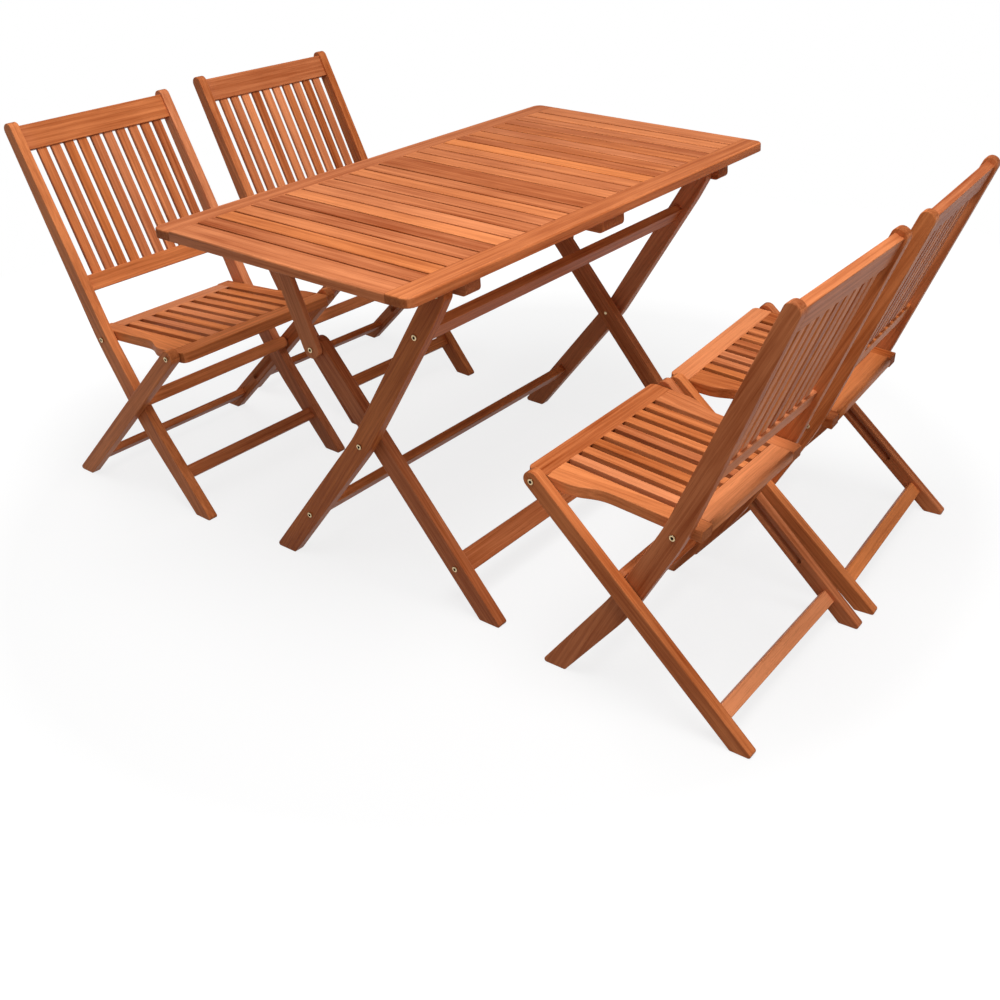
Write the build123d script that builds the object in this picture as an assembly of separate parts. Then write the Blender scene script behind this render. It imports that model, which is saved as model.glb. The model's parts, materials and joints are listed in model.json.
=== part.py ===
from build123d import *
from math import atan2, cos, degrees, hypot, radians, sin
import os

# Patio dining set in hardwood: a slatted folding table and four folding chairs.
# Millimetres, +Z up. The table's length runs along X, the chairs stand on both long sides.

# Table top
table_length = 1200.0
table_width = 700.0
table_height = 770.0
top_thick = 20.0
rail_width = 56.0
end_board_width = 64.0
mid_board_width = 74.0
slats_per_half = 11
slat_gap = 5.0
slat_thick = 16.0
tenon_long = 12.0
tenon_thick = 8.0
tenon_fit = 0.1
corner_radius = 22.0
edge_radius = 4.0
batten_width = 40.0
batten_tall = 30.0
batten_short_of_edge = 8.0
batten_corner = 12.0

# Table legs, side view: pivots and feet in from the edges of the top, crossing and knee as (Y, Z)
top_pivot_in = 47.0
strut_pivot_in = 178.0
outer_foot_in = 113.0
inner_foot_in = 14.0
pivot_below_top = 20.0
cross_pivot = (-50.0, 345.0)
knee = (91.0, 515.0)
leg_wide = 46.0
leg_thick = 24.0
leg_bend_radius = 420.0
strut_wide = 44.0
strut_thick = 12.0
pivot_end_wide = 38.0
pivot_end_reach = 18.5
pivot_shoulder = 56.0
layer_gap = 1.0
left_leg_in = 114.0
right_batten_in = 152.0
foot_depth_below = 60.0
foot_round = 6.0
knee_reach = 20.0
cleat_long = 90.0

# Table stretchers: distance from the foot or the top pivot, height and thickness
upper_stretcher_drop = 118.0
upper_stretcher_tall = 42.0
lower_stretcher_z = 122.0
inner_stretcher_z = 104.0
inner_stretcher_tall = 46.0
stretcher_tall = 36.0
stretcher_thick = 20.0

# Bolts
bolt_radius = 4.0
head_radius = 6.0
head_tall = 2.5
running_fit = 0.05
head_gap = 0.4
bolt_end_gap = 1.0
stretcher_bolt_long = 60.0
stretcher_bolt_radius = 2.5

# Making allowances: cutters run past the face they start from, round ends keep a sliver of flat
past_face = 1.0
end_flat = 0.5

# Chair, side view: Y forward from the front foot, Z up
stile_knee = (-165.0, 200.0)
stile_seat_pivot = (-280.0, 387.0)
stile_top = (-498.0, 866.0)
stile_thick = 22.0
stile_outer = 207.0
stile_wide_foot = 42.0
stile_wide_knee = 50.0
stile_wide_pivot = 46.0
stile_wide_top = 32.0
stile_bend_radius = 600.0
chair_layer_gap = 2.0
chair_leg_thick = 22.0
chair_leg_wide = 36.0
front_pivot = (7.0, 421.0)
rear_foot_y = -437.0
leg_end_reach = 19.0
groove_wide = 13.0
groove_deep = 9.0
groove_past_pin = 8.0
groove_bottom_z = 112.0

# Chair back
crest_tall = 58.0
crest_below_top = 12.0
back_rail_tall = 38.0
back_rail_above_pivot = 112.0
back_part_thick = 20.0
back_slat_count = 10
back_slat_wide = 22.0
back_slat_thick = 10.0

# Chair seat, in its own plane: forward from the rear pivot, up from it
seat_tilt = 5.0
seat_front = 318.0
seat_back = -44.0
seat_side_wide = 34.0
seat_top = 17.0
seat_thick = 24.0
seat_front_rail = 46.0
seat_rear_rail = 50.0
seat_flare_from = 140.0
seat_flare_to = 240.0
seat_slat_count = 8
seat_slat_wide = 22.0
seat_slat_thick = 13.0
seat_corner = 14.0

# Chair stretchers and guide bar
front_stretcher_z = 88.0
rear_stretcher_z = 52.0
chair_stretcher_tall = 30.0
chair_stretcher_thick = 18.0
guide_tall = 30.0
guide_thick = 16.0
guide_gap = 1.5
guide_short = 1.0

# Where the chairs stand: along the table, front feet out from the table's edge, degrees out of square
chair_1_along = -301.0
chair_1_out = 141.0
chair_1_turn = -1.0
chair_2_along = 224.0
chair_2_out = 176.0
chair_2_turn = -2.7
chair_3_along = -270.0
chair_3_out = 167.0
chair_3_turn = 1.2
chair_4_along = 200.0
chair_4_out = 150.0
chair_4_turn = 5.0

# Values that follow from the ones above
half_width = table_width / 2.0
under_top = table_height - top_thick
top_pivot = (top_pivot_in - half_width, under_top - pivot_below_top)
strut_pivot = (half_width - strut_pivot_in, under_top - pivot_below_top)
outer_foot = (half_width - outer_foot_in, 0.0)
inner_foot = (inner_foot_in - half_width, 0.0)
outer_leg_start = left_leg_in - table_length / 2.0
right_batten_start = table_length / 2.0 - right_batten_in - batten_width
slat_span = table_width - 2.0 * rail_width
half_field = table_length / 2.0 - end_board_width - mid_board_width / 2.0
slat_pitch = (half_field - slat_gap) / slats_per_half
slat_wide = slat_pitch - slat_gap
stile_inner = stile_outer - stile_thick
leg_inner = stile_outer + chair_layer_gap
leg_outer = leg_inner + chair_leg_thick
seat_front_half = leg_inner - chair_layer_gap
seat_rear_half = stile_inner - chair_layer_gap
seat_inner_half = seat_rear_half - seat_side_wide
chair_places = {
    "chair_1": (chair_1_along, half_width + chair_1_out, 180.0 + chair_1_turn),
    "chair_2": (chair_2_along, half_width + chair_2_out, 180.0 + chair_2_turn),
    "chair_3": (chair_3_along, -half_width - chair_3_out, chair_3_turn),
    "chair_4": (chair_4_along, -half_width - chair_4_out, chair_4_turn),
}
parts = {}


def unit(a, b):
    """Direction from a to b in the side view, and the distance."""
    length = hypot(b[0] - a[0], b[1] - a[1])
    return ((b[0] - a[0]) / length, (b[1] - a[1]) / length), length


def along(a, b, distance):
    """Point at a distance from a on the way to b."""
    way, _ = unit(a, b)
    return (a[0] + way[0] * distance, a[1] + way[1] * distance)


def at_height(a, b, z):
    """Point of the line a-b at a height."""
    share = (z - a[1]) / (b[1] - a[1])
    return (a[0] + share * (b[0] - a[0]), z)


def strip(points, widths):
    """Outline of a bent bar: its middle line and the width at each point."""
    left, right = [], []
    for i, (y, z) in enumerate(points):
        before, _ = unit(points[max(i - 1, 0)], points[max(i, 1)])
        after, _ = unit(points[min(i, len(points) - 2)], points[min(i + 1, len(points) - 1)])
        way, _ = unit((0.0, 0.0), (before[0] + after[0], before[1] + after[1]))
        half = widths[i] / 2.0 / (way[0] * before[0] + way[1] * before[1])
        left.append((y - way[1] * half, z + way[0] * half))
        right.append((y + way[1] * half, z - way[0] * half))
    return left + right[::-1]


def side_bar(points, widths, x_from, x_to, round_ends=(), bend_radius=0.0):
    """Bar cut from a plank that lies in the side view, with rounded ends where they are named."""
    outline = strip(points, widths)
    count = len(points)
    face = make_face(Polyline(*outline, close=True))
    for i in round_ends:
        corners = [outline[i], outline[2 * count - 1 - i]]
        near = [face.vertices().sort_by_distance(Vector(c[0], c[1], 0.0))[0] for c in corners]
        face = fillet(near, widths[i] / 2.0 - end_flat)
    if bend_radius:
        for i in range(1, count - 1):
            for c in (outline[i], outline[2 * count - 1 - i]):
                corner = face.vertices().sort_by_distance(Vector(c[0], c[1], 0.0))[0]
                face = fillet(corner, bend_radius)
    return extrude(Plane.YZ.offset(x_from) * face, amount=x_to - x_from)


def tilted_box(size, centre, lean):
    """Box in a side-view place; lean turns it about X so that its height follows a leaning bar."""
    return Location(centre, (lean, 0.0, 0.0)) * Box(*size)


def lean_of(a, b):
    """Turn about X that brings upright into line with the bar from a up to b."""
    return degrees(atan2(b[1] - a[1], b[0] - a[0])) - 90.0


def cross_rod(x_from, x_to, point, radius):
    """Round rod along X through a side-view point."""
    middle = ((x_from + x_to) / 2.0, point[0], point[1])
    return Location(middle, (0.0, 90.0, 0.0)) * Cylinder(radius, abs(x_to - x_from))


def bore(solid, x_range, point, radius):
    """Hole along X through a bar that lies between two X values."""
    return solid - cross_rod(x_range[0] - past_face, x_range[1] + past_face, point, radius)


def bolt(head_x, end_x, point, radius=bolt_radius):
    """Flat-headed bolt along X: its head lies outside head_x."""
    out = 1.0 if head_x > end_x else -1.0
    return cross_rod(end_x, head_x, point, radius) + cross_rod(
        head_x, head_x + out * head_tall, point, head_radius)


def stretcher_bolt(face_x, inward, point):
    """Thinner bolt that goes in at the outer face of a leg and on into the end of a stretcher."""
    return bolt(face_x, face_x + inward * stretcher_bolt_long, point, stretcher_bolt_radius)


def cut_floor(solid):
    """Trim a foot level with the floor and take off its sharp toe and heel."""
    ground = Box(2.0 * table_length, 2.0 * table_length, 2.0 * foot_depth_below)
    trimmed = solid - Location((0.0, 0.0, -foot_depth_below)) * ground
    return fillet([e for e in trimmed.edges().filter_by(Axis.X) if e.center().Z < past_face], foot_round)


def tenon_rail(x_from, x_to, tall, thick, point, lean):
    """Rail along X between two uprights with a tenon at each end."""
    middle = (x_from + x_to) / 2.0
    body = Box(x_to - x_from, thick, tall)
    tongue = Box(x_to - x_from + 2.0 * tenon_long, tenon_thick, tall - 2.0 * tenon_thick)
    return Location((middle, point[0], point[1]), (lean, 0.0, 0.0)) * (body + tongue)


def mortise(x_face, tall, point, lean):
    """Pocket for such a tenon, the same depth to both sides of the face it starts from."""
    size = (2.0 * (tenon_long + tenon_fit), tenon_thick + 2.0 * tenon_fit,
            tall - 2.0 * tenon_thick + 2.0 * tenon_fit)
    return tilted_box(size, (x_face, point[0], point[1]), lean)


# Table top: two long rails with a groove, boards across with tongues in the groove
groove_middle = table_height - top_thick / 2.0
top_rails = []
for side in (-1.0, 1.0):
    rail = Location((0.0, side * (table_width - rail_width) / 2.0, groove_middle)) * Box(
        table_length, rail_width, top_thick)
    outer_y = side * table_width / 2.0
    uprights = [e for e in rail.edges().filter_by(Axis.Z) if abs(e.center().Y - outer_y) < past_face]
    rail = fillet(uprights, corner_radius)
    top_edges = rail.faces().sort_by(Axis.Z)[-1].edges()
    outside = [e for e in top_edges if abs(abs(e.center().Y) - slat_span / 2.0) > past_face]
    rail = fillet(outside, edge_radius)
    groove = Location((0.0, side * slat_span / 2.0, groove_middle)) * Box(
        table_length - 2.0 * tenon_long, 2.0 * (tenon_long + tenon_fit), tenon_thick + 2.0 * tenon_fit)
    top_rails.append(rail - groove)
parts["table_rails"] = top_rails


def top_board(middle_x, wide, thick, tongue_wide):
    """Board across the table top, its upper face flush with the rails."""
    body = Location((middle_x, 0.0, table_height - thick / 2.0)) * Box(wide, slat_span, thick)
    tongue = Location((middle_x, 0.0, groove_middle)) * Box(
        tongue_wide, slat_span + 2.0 * tenon_long, tenon_thick)
    return body + tongue


end_boards = []
for side in (-1.0, 1.0):
    middle_x = side * (table_length - end_board_width) / 2.0
    body = Location((middle_x, 0.0, groove_middle)) * Box(end_board_width, slat_span, top_thick)
    far = max(body.edges().filter_by(Axis.Y), key=lambda e: side * e.center().X + e.center().Z)
    body = fillet(far, edge_radius)
    tongue = Location((middle_x - side * tenon_long, 0.0, groove_middle)) * Box(
        end_board_width - 2.0 * tenon_long - 2.0 * tenon_fit, slat_span + 2.0 * tenon_long, tenon_thick)
    end_boards.append(body + tongue)
parts["table_end_boards"] = end_boards
parts["table_mid_board"] = [top_board(0.0, mid_board_width, top_thick, mid_board_width)]
slats = []
for side in (-1.0, 1.0):
    for i in range(slats_per_half):
        middle_x = side * (mid_board_width / 2.0 + slat_gap + slat_wide / 2.0 + i * slat_pitch)
        slats.append(top_board(middle_x, slat_wide, slat_thick, slat_wide))
parts["table_slats"] = slats

# Layers of the leg work at each end, from the outer leg inwards
left_outer = (outer_leg_start, outer_leg_start + leg_thick)
left_strut = (left_outer[1] + layer_gap, left_outer[1] + layer_gap + strut_thick)
left_inner = (left_strut[1] + layer_gap, left_strut[1] + layer_gap + leg_thick)
right_outer = (right_batten_start - layer_gap - leg_thick, right_batten_start - layer_gap)
right_strut = (right_outer[0] - layer_gap - strut_thick, right_outer[0] - layer_gap)
right_inner = (right_strut[0] - layer_gap - leg_thick, right_strut[0] - layer_gap)
ends = {"left": (left_outer, left_strut, left_inner), "right": (right_outer, right_strut, right_inner)}


def from_outside(side, layer):
    """The two faces of a layer, the one nearer the table's end first."""
    return layer if side == "left" else layer[::-1]



# Battens under the top; the end ones carry the leg pivots
left_batten = (left_inner[0], left_inner[0] + batten_width)
right_batten = (right_batten_start, right_batten_start + batten_width)
mid_batten = (-mid_board_width / 2.0, mid_board_width / 2.0)
batten_tip = half_width - batten_short_of_edge
batten_outline = [(-batten_tip, under_top), (batten_tip, under_top),
                  (batten_tip, under_top - batten_tall), (-batten_tip, under_top - batten_tall)]


def batten(x_range, pivots):
    """Batten under the table top with rounded lower corners and holes for the pivot bolts."""
    face = make_face(Polyline(*batten_outline, close=True))
    low = face.vertices().group_by(Axis.Y)[0]
    profile = fillet(low, batten_corner)
    solid = extrude(Plane.YZ.offset(x_range[0]) * profile, amount=x_range[1] - x_range[0])
    for point in pivots:
        solid = bore(solid, x_range, point, bolt_radius)
    return solid


parts["table_battens"] = [batten(left_batten, [top_pivot, strut_pivot]), batten(mid_batten, []),
                          batten(right_batten, [top_pivot])]
cleat_middle = ((right_inner[0] + right_inner[1]) / 2.0, strut_pivot[0], under_top - batten_tall / 2.0)
cleat = Location(cleat_middle) * Box(leg_thick, cleat_long, batten_tall)
parts["table_strut_cleat"] = [bore(cleat, right_inner, strut_pivot, bolt_radius)]

# Outer legs, bent at the crossing
outer_line = [along(outer_foot, cross_pivot, -foot_depth_below), cross_pivot,
              along(top_pivot, cross_pivot, pivot_shoulder), along(top_pivot, cross_pivot, -pivot_end_reach)]
upper_point = along(top_pivot, cross_pivot, upper_stretcher_drop)
upper_lean = lean_of(cross_pivot, top_pivot)
lower_point = at_height(outer_foot, cross_pivot, lower_stretcher_z)
lower_lean = lean_of(outer_foot, cross_pivot)
inner_point = at_height(inner_foot, cross_pivot, inner_stretcher_z)
inner_lean = lean_of(inner_foot, cross_pivot)
hole = bolt_radius + running_fit
inner_line = [along(inner_foot, cross_pivot, -foot_depth_below), cross_pivot,
              along(knee, cross_pivot, -knee_reach)]
strut_line = [along(knee, strut_pivot, -knee_reach), along(strut_pivot, knee, pivot_shoulder),
              along(strut_pivot, knee, -pivot_end_reach)]
outer_widths = [leg_wide, leg_wide, leg_wide, pivot_end_wide]
strut_widths = [strut_wide, strut_wide, pivot_end_wide]
outer_legs, inner_legs, struts = [], [], []
cross_bolts, top_bolts, knee_bolts, stretcher_bolts, inner_bolts = [], [], [], [], []
for side, (outer, strut, inner) in ends.items():
    inward = 1.0 if side == "left" else -1.0
    outer_face, outer_back = from_outside(side, outer)
    strut_face, strut_back = from_outside(side, strut)
    inner_face, inner_back = from_outside(side, inner)
    leg = side_bar(outer_line, outer_widths, outer[0], outer[1], (3,), leg_bend_radius)
    for point in (top_pivot, cross_pivot):
        leg = bore(leg, outer, point, hole)
    for point in (upper_point, lower_point):
        leg = bore(leg, outer, point, stretcher_bolt_radius)
        stretcher_bolts.append(stretcher_bolt(outer_face, inward, point))
    leg = leg - mortise(outer_back, upper_stretcher_tall, upper_point, upper_lean)
    leg = leg - mortise(outer_back, stretcher_tall, lower_point, lower_lean)
    outer_legs.append(cut_floor(leg))

    leg = side_bar(inner_line, [leg_wide] * 3, inner[0], inner[1], (2,))
    leg = bore(leg, inner, cross_pivot, bolt_radius)
    leg = bore(leg, inner, inner_point, stretcher_bolt_radius)
    leg = leg - mortise(inner_back, inner_stretcher_tall, inner_point, inner_lean)
    inner_legs.append(cut_floor(leg))

    bar = side_bar(strut_line, strut_widths, strut[0], strut[1], (0, 2))
    bar = bore(bar, strut, strut_pivot, hole)
    struts.append(bore(bar, strut, knee, bolt_radius))

    spacer = cross_rod(outer_back + inward * head_gap, inner_face, cross_pivot, head_radius)
    cross_bolts.append(bolt(outer_face - inward * head_gap, inner_back, cross_pivot) + spacer)
    inner_bolts.append(stretcher_bolt(inner_face, inward, inner_point))
    knee_bolts.append(bolt(strut_face, strut_back, knee))
    if side == "left":
        top_bolts.append(bolt(outer_face - head_gap, left_batten[1], top_pivot))
        top_bolts.append(bolt(strut_face - head_gap, left_batten[1], strut_pivot))
    else:
        top_bolts.append(bolt(outer_back - head_gap, right_batten[1], top_pivot))
        top_bolts.append(bolt(strut_face + head_gap, inner_back, strut_pivot))
parts["table_outer_legs"] = outer_legs
parts["table_inner_legs"] = inner_legs
parts["table_struts"] = struts
parts["table_cross_bolts"] = cross_bolts + inner_bolts
parts["table_top_bolts"] = top_bolts
parts["table_knee_bolts"] = knee_bolts
parts["table_stretcher_bolts"] = stretcher_bolts
upper_stretcher = tenon_rail(
    left_outer[1], right_outer[0], upper_stretcher_tall, stretcher_thick, upper_point, upper_lean)
lower_stretcher = tenon_rail(
    left_outer[1], right_outer[0], stretcher_tall, stretcher_thick, lower_point, lower_lean)
inner_stretcher = tenon_rail(
    left_inner[1], right_inner[0], inner_stretcher_tall, stretcher_thick, inner_point, inner_lean)
parts["table_upper_stretcher"] = [upper_stretcher - stretcher_bolts]
parts["table_lower_stretcher"] = [lower_stretcher - stretcher_bolts]
parts["table_inner_stretcher"] = [inner_stretcher - inner_bolts]

# Chair, built once in its own frame and then set down four times
pivot = stile_seat_pivot
front_foot = (0.0, 0.0)
rear_foot = (rear_foot_y, 0.0)
back_lean = lean_of(pivot, stile_top)
stile_line = [along(front_foot, stile_knee, -foot_depth_below), stile_knee, pivot, stile_top]
stile_widths = [stile_wide_foot, stile_wide_knee, stile_wide_pivot, stile_wide_top]
back_length = unit(pivot, stile_top)[1]
crest_point = along(pivot, stile_top, back_length - crest_below_top - crest_tall / 2.0)
back_rail_point = along(pivot, stile_top, back_rail_above_pivot + back_rail_tall / 2.0)
front_point = at_height(front_foot, stile_knee, front_stretcher_z)
front_lean = lean_of(front_foot, stile_knee)
rear_point = at_height(rear_foot, front_pivot, rear_stretcher_z)
rear_lean = lean_of(rear_foot, front_pivot)

# The guide bar lies in front of the stiles where the rear legs' middle line passes
stile_way, _ = unit(stile_knee, pivot)
guide_lean = lean_of(stile_knee, pivot)
guide_out = stile_wide_knee / 2.0 + guide_thick / 2.0 + guide_gap
guide_base = (stile_knee[0] + stile_way[1] * guide_out, stile_knee[1] - stile_way[0] * guide_out)
leg_slope = (front_pivot[0] - rear_foot[0]) / front_pivot[1]
stile_slope = stile_way[0] / stile_way[1]
guide_height = (rear_foot[0] - guide_base[0] + stile_slope * guide_base[1]) / (stile_slope - leg_slope)
guide_point = at_height(rear_foot, front_pivot, guide_height)
groove_line = [at_height(rear_foot, front_pivot, groove_bottom_z),
               at_height(rear_foot, front_pivot, guide_height + groove_past_pin)]
leg_line = [along(rear_foot, front_pivot, -foot_depth_below), along(front_pivot, rear_foot, -leg_end_reach)]
chair = {}

stiles, legs = [], []
for side in (-1.0, 1.0):
    stile_range = sorted((side * stile_inner, side * stile_outer))
    stile = side_bar(stile_line, stile_widths, stile_range[0], stile_range[1], (3,), stile_bend_radius)
    stile = stile - mortise(side * stile_inner, crest_tall, crest_point, back_lean)
    stile = stile - mortise(side * stile_inner, back_rail_tall, back_rail_point, back_lean)
    stile = stile - mortise(side * stile_inner, chair_stretcher_tall, front_point, front_lean)
    stiles.append(cut_floor(bore(stile, stile_range, pivot, hole)))

    leg_range = sorted((side * leg_inner, side * leg_outer))
    leg = side_bar(leg_line, [chair_leg_wide] * 2, leg_range[0], leg_range[1], (1,))
    leg = leg - mortise(side * leg_inner, chair_stretcher_tall, rear_point, rear_lean)
    groove_range = sorted((side * (leg_inner - past_face), side * (leg_inner + groove_deep)))
    leg = leg - side_bar(groove_line, [groove_wide] * 2, groove_range[0], groove_range[1], (0, 1))
    legs.append(cut_floor(bore(leg, leg_range, front_pivot, hole)))
chair["stiles"] = stiles
chair["rear_legs"] = legs

# Back: crest rail, lower rail, slats held in both
slat_step = 2.0 * stile_inner / (back_slat_count + 1)
slat_low = back_rail_above_pivot + back_rail_tall
slat_high = back_length - crest_below_top - crest_tall
slat_length = slat_high - slat_low + 2.0 * tenon_long
slat_middle = along(pivot, stile_top, (slat_low + slat_high) / 2.0)
back_slats = []
crest = tenon_rail(-stile_inner, stile_inner, crest_tall, back_part_thick, crest_point, back_lean)
back_rail = tenon_rail(-stile_inner, stile_inner, back_rail_tall, back_part_thick, back_rail_point, back_lean)
slat_clear = 2.0 * tenon_fit
slat_size = (back_slat_wide, back_slat_thick, slat_length)
pocket_size = [size + slat_clear for size in slat_size]
slat_pocket = []
for i in range(back_slat_count):
    x = (i - (back_slat_count - 1) / 2.0) * slat_step
    centre = (x, slat_middle[0], slat_middle[1])
    back_slats.append(tilted_box(slat_size, centre, back_lean))
    slat_pocket.append(tilted_box(pocket_size, centre, back_lean))
chair["crest_rail"] = [crest - slat_pocket]
chair["back_rail"] = [back_rail - slat_pocket]
chair["back_slats"] = back_slats
chair["front_stretcher"] = [tenon_rail(
    -stile_inner, stile_inner, chair_stretcher_tall, chair_stretcher_thick, front_point, front_lean)]
chair["rear_stretcher"] = [tenon_rail(
    -leg_inner, leg_inner, chair_stretcher_tall, chair_stretcher_thick, rear_point, rear_lean)]

# Guide bar across the front faces of the stiles, just above the crossing
guide_half = leg_inner - guide_short
guide_face = make_face(Polyline((-guide_half, -guide_tall / 2.0), (guide_half, -guide_tall / 2.0),
                                (guide_half, guide_tall / 2.0), (-guide_half, guide_tall / 2.0), close=True))
guide_face = fillet(guide_face.vertices(), guide_tall / 2.0 - end_flat)
guide = extrude(Plane.XZ.offset(-guide_thick / 2.0) * guide_face, amount=guide_thick)
chair["guide_bar"] = [Location((0.0, guide_point[0], guide_point[1]), (guide_lean, 0.0, 0.0)) * guide]

# Seat in its own plane: a flat frame, its side rails narrow between the stiles and broad at the front
seat_place = Location((0.0, pivot[0], pivot[1]), (seat_tilt, 0.0, 0.0))
tilt_cos, tilt_sin = cos(radians(seat_tilt)), sin(radians(seat_tilt))
reach = (front_pivot[0] - pivot[0], front_pivot[1] - pivot[1])
seat_front_pivot = (reach[0] * tilt_cos + reach[1] * tilt_sin, reach[1] * tilt_cos - reach[0] * tilt_sin)
flare_middle = (seat_flare_from + seat_flare_to) / 2.0
slat_from = seat_back + seat_rear_rail
slat_to = seat_front - seat_front_rail
side_outline = [
    Line((seat_rear_half, seat_back), (seat_rear_half, seat_flare_from)),
    Bezier((seat_rear_half, seat_flare_from), (seat_rear_half, flare_middle),
           (seat_front_half, flare_middle), (seat_front_half, seat_flare_to)),
    Line((seat_front_half, seat_flare_to), (seat_front_half, slat_to)),
    Line((seat_front_half, slat_to), (seat_inner_half, slat_to)),
    Line((seat_inner_half, slat_to), (seat_inner_half, seat_back)),
    Line((seat_inner_half, seat_back), (seat_rear_half, seat_back)),
]
side_face = make_face(Curve() + side_outline)
side_rail = extrude(Plane.XY.offset(seat_top - seat_thick) * side_face, amount=seat_thick)
seat_middle = seat_top - seat_thick / 2.0
front_rail_y = seat_front - seat_front_rail / 2.0
rear_rail_y = seat_back + seat_rear_rail / 2.0
slat_place = ((slat_from + slat_to) / 2.0, seat_top - seat_slat_thick / 2.0)


# The front rail runs the full width; the side rails are tenoned into it, the rear rail into them
side_joint = Location(((seat_inner_half + seat_front_half) / 2.0, slat_to, seat_middle))
rear_joint = Location((0.0, rear_rail_y, seat_middle))
rear_tongue_deep = seat_rear_rail - 2.0 * tenon_thick
side_tongue = Box(seat_side_wide, 2.0 * tenon_long, tenon_thick)
side_pocket = Box(seat_side_wide + slat_clear, 2.0 * tenon_long + slat_clear, tenon_thick + slat_clear)
rear_tongue = Box(2.0 * (seat_inner_half + tenon_long), rear_tongue_deep, tenon_thick)
rear_pocket = Box(2.0 * (seat_inner_half + tenon_long) + slat_clear, rear_tongue_deep + slat_clear,
                  tenon_thick + slat_clear)
side_rail = side_rail + side_joint * side_tongue - rear_joint * rear_pocket
bolt_end = seat_inner_half + tenon_long + bolt_end_gap
side_rail = side_rail - cross_rod(bolt_end, seat_front_half, (0.0, 0.0), bolt_radius)
slat_full = slat_to - slat_from + 2.0 * tenon_long
groove_size = (2.0 * seat_inner_half, slat_full + slat_clear, tenon_thick + slat_clear)
slat_groove = Location((0.0, slat_place[0], slat_place[1])) * Box(*groove_size)
front_rail = Box(2.0 * seat_front_half, seat_front_rail, seat_thick)
front_rail = Location((0.0, front_rail_y, seat_middle)) * front_rail
corners = [e for e in front_rail.edges().filter_by(Axis.Z) if e.center().Y > front_rail_y]
front_rail = fillet(corners, seat_corner) - slat_groove
for side in (-1.0, 1.0):
    end = side * (seat_front_half + past_face)
    front_rail = front_rail - cross_rod(side * bolt_end, end, seat_front_pivot, bolt_radius)
front_rail = front_rail - side_joint * side_pocket - mirror(side_joint * side_pocket, Plane.YZ)
rear_rail = rear_joint * Box(2.0 * seat_inner_half, seat_rear_rail, seat_thick)
rear_edges = [e for e in rear_rail.edges().filter_by(Axis.X) if e.center().Y < rear_rail_y]
rear_rail = fillet(rear_edges, 2.0 * edge_radius) + rear_joint * rear_tongue - slat_groove
seat_frame = [side_rail, mirror(side_rail, Plane.YZ), front_rail, rear_rail]
seat_gap = (2.0 * seat_inner_half - seat_slat_count * seat_slat_wide) / (seat_slat_count + 1)
seat_slats = []
for i in range(seat_slat_count):
    x = (i - (seat_slat_count - 1) / 2.0) * (seat_slat_wide + seat_gap)
    body = Box(seat_slat_wide, slat_to - slat_from, seat_slat_thick)
    tongue = Box(seat_slat_wide, slat_full, tenon_thick)
    seat_slats.append(Location((x, slat_place[0], slat_place[1])) * (body + tongue))
seat_bolts = []
for side in (-1.0, 1.0):
    seat_bolts.append(bolt(side * (stile_outer + head_gap), side * bolt_end, (0.0, 0.0)))
    seat_bolts.append(bolt(side * (leg_outer + head_gap), side * bolt_end, seat_front_pivot))
chair["seat_frame"] = [seat_place * s for s in seat_frame]
chair["seat_slats"] = [seat_place * s for s in seat_slats]
chair["seat_bolts"] = [seat_place * s for s in seat_bolts]

for name, (x, y, turn) in chair_places.items():
    for piece, solids in chair.items():
        parts[name + "_" + piece] = [Location((x, y, 0.0), (0.0, 0.0, turn)) * s for s in solids]

# The whole set is centred over the origin and written out, one file to a node
boxes = [s.bounding_box() for solids in parts.values() for s in solids]
middle_x = (min(b.min.X for b in boxes) + max(b.max.X for b in boxes)) / 2.0
middle_y = (min(b.min.Y for b in boxes) + max(b.max.Y for b in boxes)) / 2.0
centred = Location((-middle_x, -middle_y, 0.0))
os.makedirs("parts", exist_ok=True)
for name, solids in parts.items():
    placed = [solid for s in solids for solid in (centred * s).solids()]
    node = Compound(children=placed) if len(placed) > 1 else placed[0]
    node.label = name
    export_step(node, "parts/" + name + ".step")
print("set centre was at", round(middle_x, 4), round(middle_y, 4))
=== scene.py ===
# %% [markdown]
# # A patio dining set in oiled hardwood
# The set is a slatted folding table and four folding chairs. Every wooden piece is cut from
# plank and left with eased edges, so the finish rests on two things: grain that runs along each
# piece, and a small change of colour from one plank to the next.

import json
import math
import random

import bmesh
import bpy
from mathutils import Matrix, Vector

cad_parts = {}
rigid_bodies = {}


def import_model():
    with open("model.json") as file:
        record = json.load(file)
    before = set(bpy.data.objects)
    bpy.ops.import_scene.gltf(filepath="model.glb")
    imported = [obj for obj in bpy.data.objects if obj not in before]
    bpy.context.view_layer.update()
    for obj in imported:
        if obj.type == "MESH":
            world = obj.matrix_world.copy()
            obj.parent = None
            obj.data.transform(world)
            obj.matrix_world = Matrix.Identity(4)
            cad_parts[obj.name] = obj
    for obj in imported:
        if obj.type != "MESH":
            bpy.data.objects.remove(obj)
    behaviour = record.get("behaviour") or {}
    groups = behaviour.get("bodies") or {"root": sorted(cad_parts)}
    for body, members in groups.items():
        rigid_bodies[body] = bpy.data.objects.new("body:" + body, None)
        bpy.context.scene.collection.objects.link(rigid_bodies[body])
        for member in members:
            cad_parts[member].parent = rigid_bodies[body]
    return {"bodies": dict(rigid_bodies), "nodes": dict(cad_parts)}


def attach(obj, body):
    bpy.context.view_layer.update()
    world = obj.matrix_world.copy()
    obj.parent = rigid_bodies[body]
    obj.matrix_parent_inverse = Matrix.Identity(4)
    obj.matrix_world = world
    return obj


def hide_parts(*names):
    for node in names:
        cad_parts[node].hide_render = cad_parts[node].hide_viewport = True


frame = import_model()
nodes = frame["nodes"]
body_names = {empty.name: name for name, empty in frame["bodies"].items()}
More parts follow.
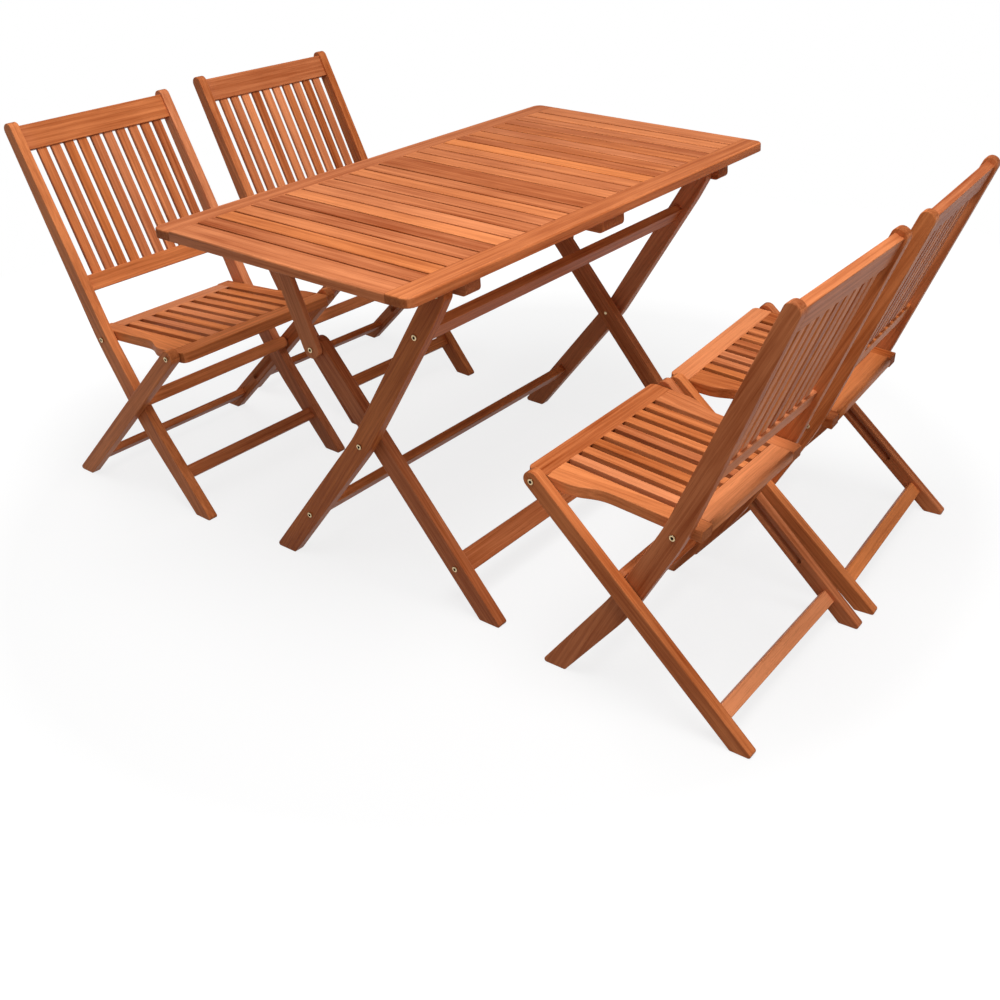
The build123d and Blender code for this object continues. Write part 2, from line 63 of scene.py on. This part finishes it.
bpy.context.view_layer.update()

# %% [markdown]
# ## Where the camera stands
# The photograph looks down on the set from beyond the table's near left corner. The place and
# the turn come from lining up the corners of the table top, the feet and the bolts of the built
# set with the picture, which is closer than placing a camera by eye. The middle of the lens falls
# right of and above the middle of the frame, because the picture was cropped, so the same crop is
# given to the camera as a shift.

# %% Camera
camera_place = Vector((-2.0052, -1.8463, 1.5820))
camera_heading = math.radians(34.209)
camera_pitch = math.radians(-24.587)
camera_roll = math.radians(-0.460)
focal_share = 1.2749
lens_centre = (0.6689, 0.3533)
sensor_width = 36.0


def look_matrix(place, heading, pitch, roll):
    """Camera matrix from a heading measured from +X, a pitch and a roll."""
    flat = math.cos(pitch)
    ahead = Vector((math.cos(heading) * flat, math.sin(heading) * flat, math.sin(pitch)))
    level = Vector((math.sin(heading), -math.cos(heading), 0.0))
    upright = level.cross(ahead)
    right = level * math.cos(roll) + upright * math.sin(roll)
    up = upright * math.cos(roll) - level * math.sin(roll)
    turn = Matrix((right, up, -ahead)).transposed()
    return Matrix.Translation(place) @ turn.to_4x4()


lens = bpy.data.cameras.new("photo_lens")
lens.sensor_width = sensor_width
lens.lens = focal_share * sensor_width
lens.shift_x = 0.5 - lens_centre[0]
lens.shift_y = lens_centre[1] - 0.5
camera = bpy.data.objects.new("photo_camera", lens)
bpy.context.collection.objects.link(camera)
camera.matrix_world = look_matrix(camera_place, camera_heading, camera_pitch, camera_roll)
bpy.context.scene.camera = camera
print("camera", round(camera_place.length, 2), "m from the middle of the floor")

# %% [markdown]
# ## Writing shader sums as sums
# A material is a chain of small nodes. This class lets the chain be written as ordinary sums:
# `0.5 + grain * 0.2` makes the nodes and their links. Any other node is made by `node`.


# %% Shader sums
class Sum:
    """A socket of a material that can be added, multiplied and passed on."""

    def __init__(self, tree, socket):
        self.tree = tree
        self.socket = socket

    def node(self, kind, out=0, inputs=None, **settings):
        """Make a node, set it up, feed its inputs and hand back one output."""
        made = self.tree.nodes.new(kind)
        for name, value in settings.items():
            setattr(made, name, value)
        for name, value in (inputs or {}).items():
            if isinstance(value, Sum):
                self.tree.links.new(value.socket, made.inputs[name])
            else:
                made.inputs[name].default_value = value
        return Sum(self.tree, made.outputs[out])

    def maths(self, operation, other, first=None):
        """One step of a sum, with this socket first unless another value is."""
        start = self if first is None else first
        return self.node("ShaderNodeMath", inputs={0: start, 1: other}, operation=operation)

    def __add__(self, other):
        return self.maths("ADD", other)

    __radd__ = __add__

    def __sub__(self, other):
        return self.maths("SUBTRACT", other)

    def __rsub__(self, other):
        return self.maths("SUBTRACT", self, first=other)

    def __mul__(self, other):
        return self.maths("MULTIPLY", other)

    __rmul__ = __mul__

    def between(self, low, high):
        """0 below low, 1 above high, straight in between."""
        return self.node("ShaderNodeMapRange", inputs={0: self, 1: low, 2: high, 3: 0.0, 4: 1.0})

    def blend(self, dark, light):
        """Mix two colours, or two colour sums, by this amount."""
        return self.node("ShaderNodeMix", out=2, data_type="RGBA", inputs={0: self, 6: dark, 7: light})


def new_material(name):
    """An empty material: its tree, its surface shader and a starting point for sums."""
    material = bpy.data.materials.new(name)
    material.use_nodes = True
    tree = material.node_tree
    shader = tree.nodes["Principled BSDF"]
    return material, tree, shader, Sum(tree, None)


def attribute(start, name, out):
    """A value that the piece's own mesh carries."""
    return start.node("ShaderNodeAttribute", out=out, attribute_name=name)


def feed(tree, shader, **inputs):
    """Link sums to the named inputs of the surface shader."""
    for name, value in inputs.items():
        tree.links.new(value.socket, shader.inputs[name.replace("_", " ")])


print("shader sums are ready")

# %% [markdown]
# ## Grain
# The wood is a reddish plantation hardwood. Each plank carries its own measuring lines: the first
# runs along the grain, the other two across it. Growth rings are slow waves across the grain that
# wander along it, finer streaks and fibres run with them, the pores are short dark lines, and a
# cloudy pattern stands for uneven oil. A picture of wood could be wrapped round every piece instead,
# but it would repeat from slat to slat, and these patterns never do.

# %% Grain patterns
wood, tree, shader, start = new_material("oiled_hardwood")
plank = attribute(start, "plank", "Vector")
shade = attribute(start, "shade", "Fac")
warmth = attribute(start, "warmth", "Fac")
end_grain = attribute(start, "end_grain", "Fac")


def pattern(waves, detail, rough):
    """Uneven waves on a plank, given as waves per metre along, across and through it."""
    stretched = start.node("ShaderNodeMapping", inputs={"Vector": plank, "Scale": waves})
    settings = {"Vector": stretched, "Scale": 1.0, "Detail": detail, "Roughness": rough}
    return start.node("ShaderNodeTexNoise", inputs=settings)


wander = pattern(waves=(2.0, 9.0, 9.0), detail=2.0, rough=0.5)
rings = pattern(waves=(1.6, 62.0, 62.0), detail=3.0, rough=0.55)
pores = pattern(waves=(26.0, 900.0, 900.0), detail=2.0, rough=0.6).between(low=0.56, high=0.74)
fibre = pattern(waves=(9.0, 320.0, 320.0), detail=3.0, rough=0.6)
streaks = pattern(waves=(3.0, 150.0, 150.0), detail=3.0, rough=0.6).between(low=0.30, high=0.70)
cloud = pattern(waves=(5.0, 7.0, 7.0), detail=2.0, rough=0.5)
print("grain has", len(tree.nodes), "nodes")

# %% [markdown]
# ## Oiled wood
# The patterns are added up to one number that runs from deep red brown to pale orange. Two more
# numbers, a plank's own shade and warmth, set the boards apart, as they do where a table is made of
# mixed planks. End grain is darker and duller, because it drinks more oil. The oil leaves a low
# sheen, so the wood reflects less than bare varnish would.

# %% Wood colour and sheen
wood_pale = (0.770, 0.245, 0.072, 1.0)
wood_deep = (0.260, 0.043, 0.004, 1.0)
wood_pink = (0.750, 0.270, 0.115, 1.0)
wood_dark = (0.100, 0.018, 0.003, 1.0)

middling = 0.5
ring_share, wander_share = 0.7, 0.5
band_share, streak_share = 0.30, 0.40
cloud_share, fibre_share = 0.5, 0.6
shade_share = 0.66
pore_darkening, end_darkening = 0.30, 0.42

satin = 0.46
fibre_dulling, end_dulling, pore_dulling = 0.22, 0.18, 0.10
fibre_height = 0.6
relief_strength = 0.22
relief_depth = 0.0004
oil_ior = 1.48
oil_sheen = 0.11

bands = (rings * ring_share + wander * wander_share).between(low=0.40, high=0.78)
grain = bands * band_share + streaks * streak_share
grain = grain + (cloud - middling) * cloud_share + (fibre - middling) * fibre_share
light = (shade * shade_share + grain).between(low=0.14, high=1.14)
colour = light.blend(wood_deep, warmth.blend(wood_pale, wood_pink))
darkening = (pores * pore_darkening + end_grain * end_darkening).between(low=0.0, high=1.0)
height = fibre * fibre_height - pores
relief = {"Height": height, "Strength": relief_strength, "Distance": relief_depth}
feed(
    tree, shader,
    Base_Color=darkening.blend(colour, wood_dark),
    Roughness=satin + (fibre - middling) * fibre_dulling + end_grain * end_dulling + pores * pore_dulling,
    Normal=start.node("ShaderNodeBump", inputs=relief),
)
shader.inputs["IOR"].default_value = oil_ior
shader.inputs["Specular IOR Level"].default_value = oil_sheen
print("wood has", len(tree.nodes), "nodes")

# %% [markdown]
# ## Yellow plating
# The pivots are flat-headed furniture bolts in a pale yellow plating, a little worn, with a
# socket in the head for the key. A mark on the mesh tells the floor of the socket from the head, so
# one material does for both: bright where the plating is whole, and nearly black in the socket,
# which is painted shade that stands in for the shadow down in the hole.

# %% Bolt material
plate_bright = (0.780, 0.610, 0.360, 1.0)
plate_worn = (0.500, 0.370, 0.210, 1.0)
# painted shade: the floor and wall of a bolt's socket are painted nearly black for the shadow inside it
painted_shade_black = (0.045, 0.030, 0.020, 1.0)
wear_scale = 180.0
wear_detail = 3.0
plating_gloss, wear_dulling, socket_dulling = 0.24, 0.22, 0.3

plating, tree, shader, start = new_material("yellow_plating")
here = start.node("ShaderNodeTexCoord", out="Object")
settings = {"Vector": here, "Scale": wear_scale, "Detail": wear_detail}
wear = start.node("ShaderNodeTexNoise", inputs=settings)
# mask of the socket, where the painted shade goes
painted_shade_socket = attribute(start, "painted_shade_socket", "Fac")
plate = wear.between(low=0.35, high=0.70).blend(plate_bright, plate_worn)
feed(
    tree, shader,
    # bright plating, with the painted shade nearly black in the socket
    Base_Color=painted_shade_socket.blend(plate, painted_shade_black),
    Roughness=plating_gloss + wear * wear_dulling + painted_shade_socket * socket_dulling,
)
shader.inputs["Metallic"].default_value = 1.0
print("plating has", len(tree.nodes), "nodes")

# %% [markdown]
# ## Welding
# The frame's mesh is made of loose triangles, and an eased edge needs corners that hang together. A
# copy is welded one solid at a time: the triangles of a solid follow one another, and a solid is
# complete when every edge has met its partner. Welding by distance alone would be shorter, but
# pieces that touch share places, and they would grow together.

# %% Welding
place_digits = 7


def welded_copy(node):
    """Copy of a node's mesh with its corners welded, solid by solid."""
    mesh = bmesh.new()
    corners, waiting = {}, set()
    for face in node.data.polygons:
        spots = [node.data.vertices[index].co.to_tuple(place_digits) for index in face.vertices]
        for spot in spots:
            if spot not in corners:
                corners[spot] = mesh.verts.new(spot)
        mesh.faces.new([corners[spot] for spot in spots])
        for step in zip(spots, spots[1:] + spots[:1]):
            if step[::-1] in waiting:
                waiting.remove(step[::-1])
            else:
                waiting.add(step)
        if not waiting:
            corners = {}
    mesh.normal_update()
    return mesh


trial = welded_copy(nodes["table_rails"])
print("table rails have", len(trial.verts), "corners after welding")

# %% [markdown]
# ## Reading a plank out of the mesh
# A node can hold several planks, such as the slats of the table top. Each connected piece of a
# mesh is measured: the direction in which its corners reach furthest is the grain, because planks
# are sawn along it. That direction is found by turning a slanted line step by step towards where
# the corners spread most, which also works for the bent and the leaning pieces.

# %% Measuring planks
slanted = (0.3, 0.5, 0.8)
settling_steps = 24


def hanging_together(items, neighbours):
    """Sort items into groups that hang together."""
    waiting = dict.fromkeys(items)
    while waiting:
        group = [waiting.popitem()[0]]
        for item in group:
            for other in neighbours(item):
                if other in waiting:
                    del waiting[other]
                    group.append(other)
        yield group


def connected_pieces(mesh):
    """Vertices of each separate piece of a mesh."""
    return hanging_together(mesh.verts, lambda vert: [edge.other_vert(vert) for edge in vert.link_edges])


def faces_of(piece):
    """Faces of one piece, each once and always in the same order."""
    return list(dict.fromkeys(face for vert in piece for face in vert.link_faces))


def plank_axes(piece):
    """Middle of a piece and three directions: along the grain, across it and through it."""
    middle = sum((vert.co for vert in piece), Vector()) / len(piece)
    spread = Matrix.Diagonal((0.0, 0.0, 0.0))
    for vert in piece:
        reach = vert.co - middle
        spread += Matrix([reach * reach[i] for i in range(3)])
    along = Vector(slanted)
    for _ in range(settling_steps):
        along = (spread @ along).normalized()
    side = along.orthogonal().normalized()
    return middle, along, side, along.cross(side)


for piece in connected_pieces(trial):
    print("a table rail's grain runs along", [round(abs(value), 3) for value in plank_axes(piece)[1]])

# %% [markdown]
# ## Joints
# A face that an inner corner bounds is the wall of a hole or the shoulder of a tenon. On the real
# furniture these are hidden in the joint and stay as they were cut, so they have to be told from
# the faces that a hand can reach. The sign of the angle between two faces does that.

# %% Faces inside joints
inner_corner_angle = math.radians(6.0)


def is_joint_face(face):
    """True for the wall of a hole and the shoulder of a tenon: a face that an inner corner bounds."""
    return any(edge.calc_face_angle_signed(0.0) < -inner_corner_angle for edge in face.edges)


def hole_middles(piece):
    """Middle of each hole, mortise, groove and shoulder of a piece."""
    walls = [face for face in faces_of(piece) if is_joint_face(face)]
    for group in hanging_together(walls, lambda face: [o for edge in face.edges for o in edge.link_faces]):
        yield sum((face.calc_center_median() for face in group), Vector()) / len(group)


for piece in connected_pieces(trial):
    print("joints in a table rail:", len(list(hole_middles(piece))))

# %% [markdown]
# ## Whole faces
# An eased edge also needs whole faces, and a face with a hole in it can't be whole. Joining the
# triangles as they come leaves seams that run slantwise to the outline, where the easing would
# break. So every plank is first cut square across at its holes. All other seams then go, and the
# few that stay meet the outline squarely, where the easing can cross them.

# %% Cutting and joining
same_place = 2e-5
off_middle = 0.0008
flat_angle = math.radians(0.5)


def cut_across_holes(mesh):
    """Cut every piece square across at its holes, and hand back the edges of the cuts."""
    cuts = []
    for piece in list(connected_pieces(mesh)):
        along = plank_axes(piece)[1]
        solid = faces_of(piece)
        solid += list(dict.fromkeys(edge for face in solid for edge in face.edges)) + piece
        for middle in list(hole_middles(piece)):
            spot = middle + along * off_middle
            made = bmesh.ops.bisect_plane(mesh, geom=solid, dist=same_place, plane_co=spot, plane_no=along)
            solid = made["geom"]
            cuts += [item for item in made["geom_cut"] if isinstance(item, bmesh.types.BMEdge)]
    return set(cuts)


def join_flat_faces(mesh, cuts):
    """Make flat faces whole, so that of all seams only the square cuts stay, beside the holes."""
    seams = [edge for edge in mesh.edges if edge.calc_face_angle(math.pi) < flat_angle]
    for seam in sorted(seams, key=lambda edge: edge in cuts):
        first, second = seam.link_faces
        if len(set(first.edges).intersection(second.edges)) == 1:
            bmesh.utils.face_join((first, second))
    bmesh.ops.dissolve_degenerate(mesh, dist=same_place, edges=mesh.edges)
    spare = [vert for vert in mesh.verts if len(vert.link_edges) == 2]
    bmesh.ops.dissolve_limit(mesh, angle_limit=flat_angle, verts=spare, edges=[])
    mesh.normal_update()


triangles = len(trial.faces)
join_flat_faces(trial, cut_across_holes(trial))
print("table rails went from", triangles, "triangles to", len(trial.faces), "whole faces")
trial.free()

# %% [markdown]
# ## Eased edges
# A finished copy is shown in place of its node, on the node's own body. Sanding rounds only the
# edges that a hand can reach, so the edges inside a joint stay sharp. The rounding is a bevel that
# follows marks on the edges; a bevel by angle alone would also round the joints. Weighted normals
# keep the broad faces flat to the eye.

# %% Showing and easing
easing_angle = math.radians(32.0)


def show_instead(node, mesh, material):
    """Show a finished mesh in place of a node, on the node's own body."""
    data = bpy.data.meshes.new(node.name + "_finished")
    mesh.to_mesh(data)
    mesh.free()
    data.materials.append(material)
    for face in data.polygons:
        face.use_smooth = True
    piece = bpy.data.objects.new(node.name + "_finished", data)
    bpy.context.collection.objects.link(piece)
    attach(piece, body_names[node.parent.name])
    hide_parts(node.name)
    return piece


def mark_open_edges(mesh):
    """Mark the sharp edges that a hand can reach; edges inside a joint stay as they were cut."""
    weight = mesh.edges.layers.float.new("bevel_weight_edge")
    joint_faces = {face for face in mesh.faces if is_joint_face(face)}
    for edge in mesh.edges:
        if len(edge.link_faces) == 2 and edge.calc_face_angle_signed() > easing_angle:
            edge[weight] = 0.0 if joint_faces.intersection(edge.link_faces) else 1.0


def ease_edges(piece, width, segments):
    """Round the marked edges, as a hand with sandpaper does."""
    easing = piece.modifiers.new("eased_edges", "BEVEL")
    easing.width = width
    easing.segments = segments
    easing.limit_method = "WEIGHT"
    easing.use_clamp_overlap = False
    piece.modifiers.new("flat_faces", "WEIGHTED_NORMAL")


print("edges sharper than", round(math.degrees(easing_angle)), "degrees are eased")

# %% [markdown]
# ## Wooden pieces
# Every plank gets its measuring lines, a shade and a warmth of its own, and marks on its end grain.
# All of them are written on the mesh, so the grain stays with the piece when the furniture folds.
# Slats are eased less than bars, and the boards that lie flush in the table top least of all.

# %% Wooden pieces
end_grain_cosine = 0.80
offset_reach = 20.0
chance = random.Random(4759)
slat_easing = 0.0016
top_easing = 0.0010
bar_easing = 0.0020
edge_steps = 3
shade_lean = (1.5, 1.3)
flush_boards = ("table_rails", "table_end_boards", "table_mid_board")
plank_count = 0
for name in sorted(nodes):
    if name.endswith("_bolts"):
        continue
    mesh = welded_copy(nodes[name])
    join_flat_faces(mesh, cut_across_holes(mesh))
    plank_layer = mesh.verts.layers.float_vector.new("plank")
    shade_layer = mesh.verts.layers.float.new("shade")
    warmth_layer = mesh.verts.layers.float.new("warmth")
    end_layer = mesh.faces.layers.float.new("end_grain")
    for piece in connected_pieces(mesh):
        middle, along, side, through = plank_axes(piece)
        start_at = Vector((chance.uniform(0.0, offset_reach) for _ in range(3)))
        piece_shade = chance.betavariate(*shade_lean)
        piece_warmth = chance.random()
        for vert in piece:
            reach = vert.co - middle
            vert[plank_layer] = start_at + Vector((reach.dot(along), reach.dot(side), reach.dot(through)))
            vert[shade_layer] = piece_shade
            vert[warmth_layer] = piece_warmth
        for face in faces_of(piece):
            face[end_layer] = 1.0 if abs(face.normal.dot(along)) > end_grain_cosine else 0.0
        plank_count += 1
    mark_open_edges(mesh)
    easing = slat_easing if "slats" in name else top_easing if name in flush_boards else bar_easing
    ease_edges(show_instead(nodes[name], mesh, wood), easing, edge_steps)
print(plank_count, "planks finished")

# %% [markdown]
# ## Bolt heads
# Each bolt in the frame is a plain stepped pin with its head at one end, which is the larger of its
# two caps. That cap is set in and sunk, which leaves a rim round a socket. Cutting the socket out of
# the solid would do as well, but nothing fits into it, so it belongs to the finish.

# %% Bolts
socket_share = 0.52
socket_depth = 0.0016
head_bevel = 0.0007
head_steps = 2
cap_cosine = 0.99


def cut_socket(mesh, face, painted_shade_layer):
    """Sink a socket into the outer face of a bolt head and mark its floor and wall for the painted shade.
    """
    radius = max((vert.co - face.calc_center_median()).length for vert in face.verts)
    bmesh.ops.inset_individual(mesh, faces=[face], thickness=radius * (1.0 - socket_share))
    inward = -face.normal.copy()
    floor = bmesh.ops.extrude_discrete_faces(mesh, faces=[face])["faces"]
    low = {vert for piece in floor for vert in piece.verts}
    bmesh.ops.translate(mesh, vec=inward * socket_depth, verts=list(low))
    # the socket's floor and wall get the painted shade
    for piece in {piece for vert in low for piece in vert.link_faces}:
        piece[painted_shade_layer] = 1.0


for name in sorted(nodes):
    if not name.endswith("_bolts"):
        continue
    mesh = welded_copy(nodes[name])
    join_flat_faces(mesh, cuts=set())
    heads = []
    painted_shade_layer = mesh.faces.layers.float.new("painted_shade_socket")
    for piece in connected_pieces(mesh):
        caps = [face for face in faces_of(piece) if abs(face.normal.x) > cap_cosine]
        heads.append(max(caps, key=lambda face: face.calc_area()))
    for head in heads:
        cut_socket(mesh, head, painted_shade_layer)
    mark_open_edges(mesh)
    ease_edges(show_instead(nodes[name], mesh, plating), head_bevel, head_steps)
    print(name, len(heads), "heads")

# %% [markdown]
# ## Floor
# The set stands on a pale floor. Near the set the camera sees part of the floor's own shading, so
# faint shadows show. Further out the floor glows, and fades to plain white. A white floor alone would
# turn grey towards the edges, and would throw so much light back that the shaded sides of the wood
# went pale. So only the camera, mirrors and glass see the glow. To the wood it is a pale floor.

# %% Floor
floor_reach = 30.0
floor_white = 0.30
near_glow_share = 0.45
near_glow_extra = 0.80
shadow_from = 1.1
shadow_to = 2.4

floor_mesh = bmesh.new()
bmesh.ops.create_grid(floor_mesh, x_segments=1, y_segments=1, size=floor_reach)
floor_data = bpy.data.meshes.new("studio_floor")
floor_mesh.to_mesh(floor_data)
floor_mesh.free()
floor = bpy.data.objects.new("studio_floor", floor_data)
bpy.context.collection.objects.link(floor)

paper, tree, shader, start = new_material("white_paper")
shader.inputs["Base Color"].default_value = (floor_white, floor_white, floor_white, 1.0)
shader.inputs["Roughness"].default_value = 1.0
shader.inputs["Specular IOR Level"].default_value = 0.0
seen_straight = start.node("ShaderNodeLightPath", out="Is Camera Ray")
seen_mirrored = start.node("ShaderNodeLightPath", out="Is Glossy Ray")
seen_through = start.node("ShaderNodeLightPath", out="Is Transmission Ray")
spot = start.node("ShaderNodeTexCoord", out="Object")
distance = start.node("ShaderNodeVectorMath", out="Value", inputs={0: spot}, operation="LENGTH")
near = 1.0 - distance.between(low=shadow_from, high=shadow_to)
glow = start.node("ShaderNodeEmission", inputs={"Strength": 1.0 + near * near_glow_extra})
seen = (seen_straight + seen_mirrored + seen_through).between(low=0.0, high=1.0)
glow_part = seen * (1.0 - near * (1.0 - near_glow_share))
mix = start.node("ShaderNodeMixShader", inputs={0: glow_part, 1: Sum(tree, shader.outputs[0]), 2: glow})
tree.links.new(mix.socket, tree.nodes["Material Output"].inputs["Surface"])
floor_data.materials.append(paper)
print("floor fades to white from", shadow_from, "to", shadow_to, "m")

# %% [markdown]
# ## Sky
# A dim white sky fills the shadows from all sides, as the walls of a studio do. The camera itself
# sees it as full white, so the background is as plain as the paper.

# %% Sky
sky_strength = 0.27

sky = bpy.data.worlds.new("soft_sky")
sky.use_nodes = True
bpy.context.scene.world = sky
tree = sky.node_tree
seen_straight = Sum(tree, None).node("ShaderNodeLightPath", out="Is Camera Ray")
strength = sky_strength + seen_straight * (1.0 - sky_strength)
tree.links.new(strength.socket, tree.nodes["Background"].inputs["Strength"])
tree.nodes["Background"].inputs["Color"].default_value = (1.0, 1.0, 1.0, 1.0)
print("sky lights the set at", sky_strength)

# %% [markdown]
# ## Lamps
# Two broad square lamps stand in for the softboxes of a studio: the key hangs over the table, and a
# weaker fill stands low on the camera's side. Broad lamps give the soft, short shadows under the
# chairs; a single bright point would draw hard ones.


# %% Lamps
def softbox(name, place, aim, size, watts):
    """A square lamp that points at a spot."""
    lamp = bpy.data.lights.new(name, "AREA")
    lamp.size = size
    lamp.energy = watts
    holder = bpy.data.objects.new(name, lamp)
    bpy.context.collection.objects.link(holder)
    holder.location = place
    holder.rotation_euler = (Vector(aim) - Vector(place)).to_track_quat("-Z", "Y").to_euler()


softbox("key_softbox", place=(-0.6, -1.0, 4.0), aim=(0.0, 0.0, 0.5), size=2.4, watts=152.0)
softbox("fill_softbox", place=(-1.6, -4.2, 2.0), aim=(0.0, 0.0, 0.4), size=2.6, watts=35.0)
bpy.context.scene.view_settings.view_transform = "Standard"
print("studio has", len(bpy.data.lights), "lamps")
